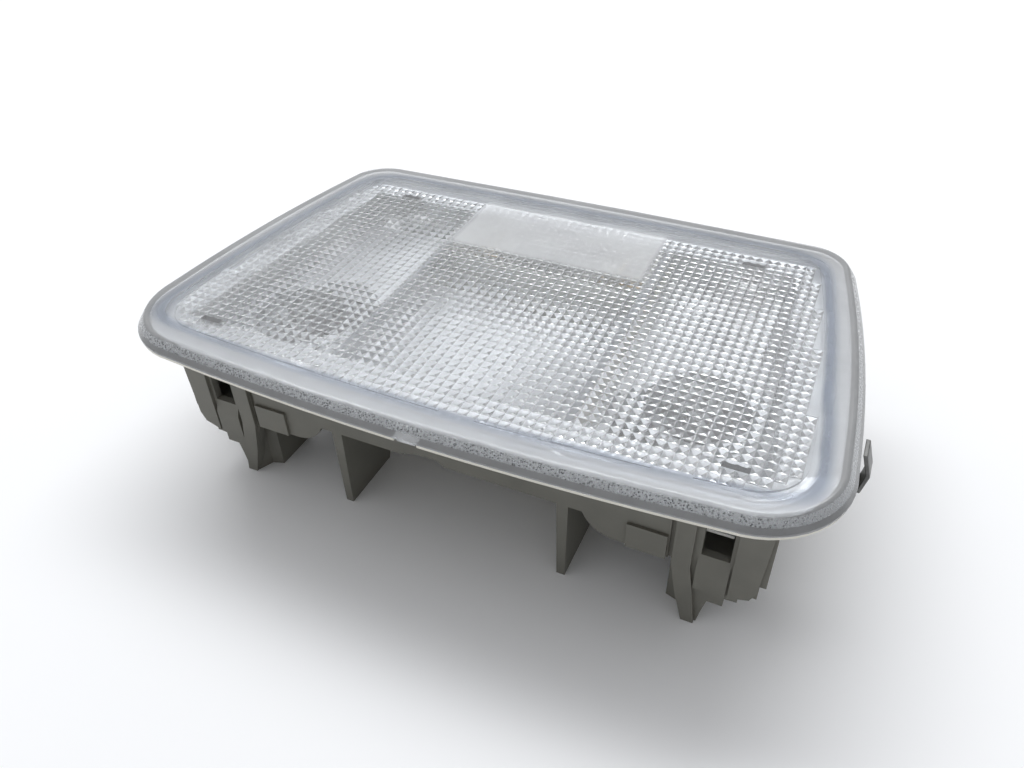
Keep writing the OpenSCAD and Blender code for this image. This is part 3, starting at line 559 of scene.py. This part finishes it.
def socket_plastic():
    finish = Finish("dark socket plastic")
    tone = finish.noise(5 * MM, detail=4)
    finish.feed(Base_Color=finish.ramp(tone, (0.10, 0.10, 0.102), (0.15, 0.15, 0.152)),
                Roughness=finish.spread(tone, 0.42, 0.58))
    finish.bump(finish.noise(0.3 * MM), depth=0.015 * MM, strength=0.5)
    return finish.material


def filament_wire():
    finish = Finish("filament wire")
    tone = finish.noise(1 * MM)
    finish.set(Metallic=1.0)
    finish.feed(Base_Color=finish.ramp(tone, (0.22, 0.22, 0.23), (0.42, 0.42, 0.43)),
                Roughness=finish.spread(tone, 0.35, 0.5))
    return finish.material


# Pieces

class LightOperator:
    """Common to the operators: each works on the scene's settings."""
    bl_options = {"REGISTER", "UNDO"}

    def execute(self, context):
        self.build(context.scene.interior_light)
        return {"FINISHED"}


class INTERIOR_LIGHT_OT_lens(LightOperator, bpy.types.Operator):
    """Clear lens with rounded edge, stippled band and prisms"""
    bl_idname = "interior_light.lens"
    bl_label = "Lens"

    def build(self, settings):
        piece = merged_copy("lens", "clear_lens")
        top = lens_high.z
        self.flatten_prism_edges(piece, settings.lens.groove)
        cut(piece, (0, 0, top - STIPPLE_FOOT), (0, 0, 1))
        smooth(piece)
        for plastic in (lens_plastic, edge_plastic, stippled_plastic):
            piece.data.materials.append(plastic(settings.lens))
        paint(piece, 1, lambda c, n: c.z > top - LIP_DEPTH and self.outside(c, n))
        paint(piece, 2, lambda c, n: top - STIPPLE_FOOT < c.z < top - STIPPLE_TOP and self.outside(c, n))
        finish_piece(piece, "clear_lens", "lens")

    def flatten_prism_edges(self, piece, groove):
        """Bevels the edges of the prisms, which a mould leaves with narrow flats."""
        mesh = piece.data
        root, tip = lens_high.z - PRISM_ROOT, lens_high.z - PRISM_TIP
        inside = lens_high.x - 10 * MM

        def prism_edge(e):
            ends = (mesh.vertices[i].co for i in e.vertices)
            return all(tip < p.z < root and abs(p.x) < inside for p in ends)

        choose(piece, "edges", prism_edge)
        edit(piece, "EDGE")
        bpy.ops.mesh.bevel(offset=groove / 2, segments=1, affect="EDGES")
        done()

    def outside(self, c, n):
        """Whether a face is on the outer side of the lens's edge."""
        near_edge = abs(c.y) > lens_high.y - 12 * MM or abs(c.x) > lens_high.x - 22 * MM
        return near_edge and n.xy.length > 0.2 and c.xy.dot(n.xy) > 0


class INTERIOR_LIGHT_OT_housing(LightOperator, bpy.types.Operator):
    """Moulded base with its flange, wells, legs, fins and connector shroud"""
    bl_idname = "interior_light.housing"
    bl_label = "Base"

    def build(self, settings):
        dressed("housing", "moulded_base", "base_plastic", base_plastic(settings.base),
                settings.base.edge_round)


class INTERIOR_LIGHT_OT_reflector(LightOperator, bpy.types.Operator):
    """Reflector with a pale rim and silvered bays"""
    bl_idname = "interior_light.reflector"
    bl_label = "Reflector"

    def build(self, settings):
        colours = settings.reflector
        rim = pale_plastic("pale reflector plastic", colours.rim_colour, 0.35)
        piece = dressed("reflector", "silvered_reflector", "pale_reflector", rim, 0.2 * MM)
        for y in (-BAY_REACH, BAY_REACH):
            cut(piece, (0, y, 0), (0, 1, 0))
        piece.data.materials.append(silvering("reflector silvering", colours.silver, 0.36, 0.65))
        # Painted shade: a darker, duller silvering on the tops of the walls between the bays
        piece.data.materials.append(silvering("bay wall tops", colours.wall_top, 0.5, 0.4))
        paint(piece, 1, self.silvered)
        paint(piece, 2, self.wall_top)

    def silvered(self, c, n):
        """Whether a face looks up or inwards, and so took the silvering."""
        if n.z > 0.3:
            return True
        return n.z > -0.1 and c.z > reflector_low.z and c.xy.dot(n.xy) < 0

    def wall_top(self, c, n):
        """Whether a face is the top of a wall between two bays, which takes the painted shade."""
        on_top = n.z > 0.9 and c.z > reflector_high.z - 0.3 * MM
        return on_top and BAY_WALL[0] < abs(c.x) < BAY_WALL[1] and abs(c.y) < BAY_REACH


class INTERIOR_LIGHT_OT_lamp_pan(LightOperator, bpy.types.Operator):
    """White pan behind the festoon bulb"""
    bl_idname = "interior_light.lamp_pan"
    bl_label = "Lamp pan"

    def build(self, settings):
        white = pale_plastic("white pan plastic", settings.reflector.pan_colour, 0.4)
        dressed("lamp_pan", "white_lamp_pan", "white_pan", white, 0.25 * MM)


class INTERIOR_LIGHT_OT_bowls(LightOperator, bpy.types.Operator):
    """Silvered bowls round the wedge bulbs"""
    bl_idname = "interior_light.bowls"
    bl_label = "Bowls"

    def build(self, settings):
        bright = silvering("bowl silvering", settings.reflector.silver, 0.34, 0.7)
        for side in SIDES:
            dressed(f"{side}_bowl", f"{side}_silvered_bowl", "bright_bowl", bright, 0.15 * MM)


class INTERIOR_LIGHT_OT_bulbs(LightOperator, bpy.types.Operator):
    """Festoon bulb and wedge bulbs with coiled filaments"""
    bl_idname = "interior_light.bulbs"
    bl_label = "Bulbs"

    def build(self, settings):
        glass = bulb_glass()
        wire = filament_wire()
        cap = rolled_metal("plated cap", settings.metal.plating, 0.28)
        dressed("festoon_glass", "festoon_tube", "bulb_glass", glass, 0.15 * MM)
        dressed("festoon_caps", "festoon_end_caps", "cap_metal", cap, 0.2 * MM, segments=3)
        self.festoon_wires(settings.lamps, wire)
        for side in SIDES:
            dressed(f"{side}_wedge_glass", f"{side}_wedge_bulb", "bulb_glass", glass, 0.15 * MM)
            self.wedge_wires(settings.lamps, wire, side)

    def coil(self, lamps, centre, length, radius):
        """A coil of wire along X, closed at its ends."""
        deselect_all()
        bpy.ops.mesh.primitive_circle_add(
            vertices=6, radius=lamps.wire, rotation=(pi / 2, 0, 0), fill_type="NOTHING")
        piece = bpy.context.object
        bpy.ops.object.transform_apply(location=False, rotation=True, scale=True)
        piece.data.transform(Matrix.Translation((0, 0, radius)))
        piece.location = Vector(centre) - Vector((length / 2, 0, 0))
        screw = piece.modifiers.new("Coil", "SCREW")
        screw.axis = "X"
        screw.angle = 2 * pi
        screw.screw_offset = length / lamps.coil_turns
        screw.iterations = lamps.coil_turns
        screw.steps = screw.render_steps = 10
        bpy.ops.object.modifier_apply(modifier=screw.name)
        bpy.ops.object.transform_apply(location=True, rotation=True, scale=True)
        edit(piece, "VERT")
        bpy.ops.mesh.select_all(action="SELECT")
        bpy.ops.mesh.remove_doubles(threshold=1e-7)
        bpy.ops.mesh.select_all(action="DESELECT")
        bpy.ops.mesh.select_non_manifold()
        bpy.ops.mesh.edge_face_add()
        bpy.ops.mesh.select_all(action="SELECT")
        bpy.ops.mesh.normals_make_consistent(inside=False)
        done()
        return piece

    def rod(self, a, b, radius):
        """A straight wire between two points, its ends rounded."""
        a, b = Vector(a), Vector(b)
        deselect_all()
        bpy.ops.mesh.primitive_cylinder_add(
            vertices=8, radius=radius, depth=(b - a).length, location=(a + b) / 2,
            rotation=(b - a).to_track_quat("Z", "Y").to_euler())
        piece = bpy.context.object
        bpy.ops.object.transform_apply(location=True, rotation=True, scale=True)
        choose(piece, "polygons", lambda f: len(f.vertices) > 4)
        edit(piece, "FACE")
        bpy.ops.mesh.bevel(offset=radius * 0.3, segments=2, affect="EDGES")
        done()
        return piece

    def wired(self, pieces, name, node, material):
        """Joins a coil and its leads into the piece that stands for a filament."""
        activate(pieces[0])
        for piece in pieces:
            piece.select_set(True)
        bpy.ops.object.join()
        piece = pieces[0]
        piece.name = name
        smooth(piece)
        piece.data.materials.append(material)
        finish_piece(piece, "filament", node)

    def festoon_wires(self, lamps, material):
        """A coil in the middle of the tube, held by a lead from each cap."""
        low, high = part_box("festoon_filament")
        x, y, z = (low + high) / 2
        coil_length = (high.x - low.x) * 0.5
        pieces = [self.coil(lamps, (x, y, z), coil_length, 0.45 * MM)]
        for end, coil_end in ((low.x, x - coil_length / 2), (high.x, x + coil_length / 2)):
            pieces.append(self.rod((end, y, z), (coil_end, y, z), lamps.lead))
        self.wired(pieces, "festoon_coil", "festoon_filament", material)

    def wedge_wires(self, lamps, material, side):
        """A coil across the top of a wedge bulb, on two upright leads."""
        low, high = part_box(f"{side}_wedge_filament")
        middle = (low + high) / 2
        coil_z = high.z - 0.5 * MM
        reach = 2.5 * MM
        coil_length = 2 * reach - 0.4 * MM
        pieces = [self.coil(lamps, (middle.x, middle.y, coil_z), coil_length, 0.38 * MM)]
        for x in (middle.x - reach, middle.x + reach):
            pieces.append(self.rod((x, middle.y, low.z), (x, middle.y, coil_z), lamps.lead))
        self.wired(pieces, f"{side}_wedge_coil", f"{side}_wedge_filament", material)


class INTERIOR_LIGHT_OT_sockets(LightOperator, bpy.types.Operator):
    """Twist-in bulb sockets"""
    bl_idname = "interior_light.sockets"
    bl_label = "Bulb sockets"

    def build(self, settings):
        dark = socket_plastic()
        for side in SIDES:
            dressed(f"{side}_bulb_socket", f"{side}_twist_socket", "dark_plastic", dark, 0.25 * MM)


class INTERIOR_LIGHT_OT_brass_parts(LightOperator, bpy.types.Operator):
    """Conductor strips, socket contacts and festoon bulb clips"""
    bl_idname = "interior_light.brass_parts"
    bl_label = "Brass parts"

    def build(self, settings):
        brass = rolled_metal("stamped brass", settings.metal.brass, 0.3)
        for strip in ("earth", "feed", "door"):
            dressed(f"{strip}_strip", f"{strip}_conductor", "brass", brass, 0.12 * MM)
        for side in SIDES:
            dressed(f"{side}_socket_contacts", f"{side}_contacts", "brass", brass, 0.1 * MM)
            dressed(f"{side}_bulb_clip", f"{side}_cap_clip", "brass", brass, 0.1 * MM)


class INTERIOR_LIGHT_OT_spring_clips(LightOperator, bpy.types.Operator):
    """Steel spring clips at both sides"""
    bl_idname = "interior_light.spring_clips"
    bl_label = "Spring clips"

    def build(self, settings):
        steel = rolled_metal("spring steel", settings.metal.spring_steel, 0.42, lines=(12, 1, 12))
        for side in SIDES:
            dressed(f"{side}_spring_clip", f"{side}_roof_clip", "spring_steel", steel, 0.2 * MM)


class INTERIOR_LIGHT_OT_stage(LightOperator, bpy.types.Operator):
    """Floor, sky, window light and camera"""
    bl_idname = "interior_light.stage"
    bl_label = "Stage"

    def build(self, settings):
        self.floor(settings.stage)
        self.sky(settings.stage)
        self.window_light(settings.stage)
        self.camera(settings.stage)
        bpy.context.scene.view_settings.view_transform = "Standard"

    def floor(self, stage):
        deselect_all()
        bpy.ops.mesh.primitive_plane_add(size=6)
        floor = bpy.context.object
        floor.name = "floor"
        finish = Finish("pale floor")
        tone = finish.noise(120 * MM, detail=4)
        colour = stage.floor_colour
        finish.set(Specular_IOR_Level=0.2)
        finish.feed(Base_Color=finish.ramp(tone, shaded(colour, 0.99), colour),
                    Roughness=finish.spread(tone, 0.42, 0.5))
        floor.data.materials.append(finish.material)

    def sky(self, stage):
        """White where it is seen, and a softer light that is brighter at the back and above."""
        world = bpy.data.worlds.new("soft room")
        bpy.context.scene.world = world
        world.use_nodes = True
        nodes, links = world.node_tree.nodes, world.node_tree.links
        to_window = nodes.new("ShaderNodeVectorMath")
        to_window.operation = "DOT_PRODUCT"
        to_window.inputs[1].default_value = Vector(stage.sky_way).normalized()
        links.new(nodes.new("ShaderNodeTexCoord").outputs["Generated"], to_window.inputs[0])
        half = nodes.new("ShaderNodeMath")
        half.operation = "MULTIPLY_ADD"
        half.inputs[1].default_value = half.inputs[2].default_value = 0.5
        links.new(to_window.outputs["Value"], half.inputs[0])
        shade = nodes.new("ShaderNodeValToRGB")
        row = shade.color_ramp.elements
        for stop, place, colour in zip(row, (0.25, 0.95), (stage.sky_dim, stage.sky_bright)):
            stop.position = place
            stop.color = (*colour, 1)
        links.new(half.outputs[0], shade.inputs["Fac"])
        seen = nodes.new("ShaderNodeMix")
        seen.data_type = "RGBA"
        seen.inputs["B"].default_value = (1, 1, 1, 1)
        links.new(nodes.new("ShaderNodeLightPath").outputs["Is Camera Ray"], seen.inputs["Factor"])
        links.new(shade.outputs["Color"], seen.inputs["A"])
        links.new(seen.outputs["Result"], nodes["Background"].inputs["Color"])

    def window_light(self, stage):
        """One broad lamp behind and above, as a window."""
        data = bpy.data.lights.new("window", "AREA")
        data.shape = "RECTANGLE"
        data.size, data.size_y = stage.window_size
        data.energy = stage.window_power
        data.color = (0.97, 0.985, 1.0)
        lamp = bpy.data.objects.new("window", data)
        bpy.context.scene.collection.objects.link(lamp)
        lamp.location = stage.window_place
        facing = Vector(stage.window_aim) - Vector(stage.window_place)
        lamp.rotation_euler = facing.to_track_quat("-Z", "Y").to_euler()

    def camera(self, stage):
        """Stands where the photograph was taken from."""
        data = bpy.data.cameras.new("camera")
        data.sensor_width = 36
        data.lens = stage.focal
        data.clip_start = 5 * MM
        camera = bpy.data.objects.new("camera", data)
        bpy.context.scene.collection.objects.link(camera)
        place, aim = Vector(stage.camera_place), Vector(stage.camera_aim)
        turn = (aim - place).to_track_quat("-Z", "Y").to_matrix().to_4x4()
        roll = Matrix.Rotation(stage.camera_roll, 4, "Z")
        camera.matrix_world = Matrix.Translation(place) @ turn @ roll
        bpy.context.scene.camera = camera


class INTERIOR_LIGHT_PT_pieces(bpy.types.Panel):
    """Lists the pieces in the 3D view's sidebar"""
    bl_idname = "INTERIOR_LIGHT_PT_pieces"
    bl_label = "Interior Light"
    bl_space_type = "VIEW_3D"
    bl_region_type = "UI"
    bl_category = "Interior Light"

    def draw(self, context):
        for operator in OPERATORS:
            self.layout.operator(operator.bl_idname)


GROUPS = (
    LensSettings,
    BaseSettings,
    ReflectorSettings,
    LampSettings,
    MetalSettings,
    StageSettings,
    InteriorLightSettings,
)
OPERATORS = (
    INTERIOR_LIGHT_OT_lens,
    INTERIOR_LIGHT_OT_housing,
    INTERIOR_LIGHT_OT_reflector,
    INTERIOR_LIGHT_OT_lamp_pan,
    INTERIOR_LIGHT_OT_bowls,
    INTERIOR_LIGHT_OT_bulbs,
    INTERIOR_LIGHT_OT_sockets,
    INTERIOR_LIGHT_OT_brass_parts,
    INTERIOR_LIGHT_OT_spring_clips,
    INTERIOR_LIGHT_OT_stage,
)


def register():
    for item in GROUPS + OPERATORS + (INTERIOR_LIGHT_PT_pieces,):
        bpy.utils.register_class(item)
    bpy.types.Scene.interior_light = bpy.props.PointerProperty(type=InteriorLightSettings)


def unregister():
    del bpy.types.Scene.interior_light
    for item in reversed(GROUPS + OPERATORS + (INTERIOR_LIGHT_PT_pieces,)):
        bpy.utils.unregister_class(item)


def main():
    register()
    for operator in OPERATORS:
        group, name = operator.bl_idname.split(".")
        getattr(getattr(bpy.ops, group), name)()


if __name__ == "__main__":
    main()
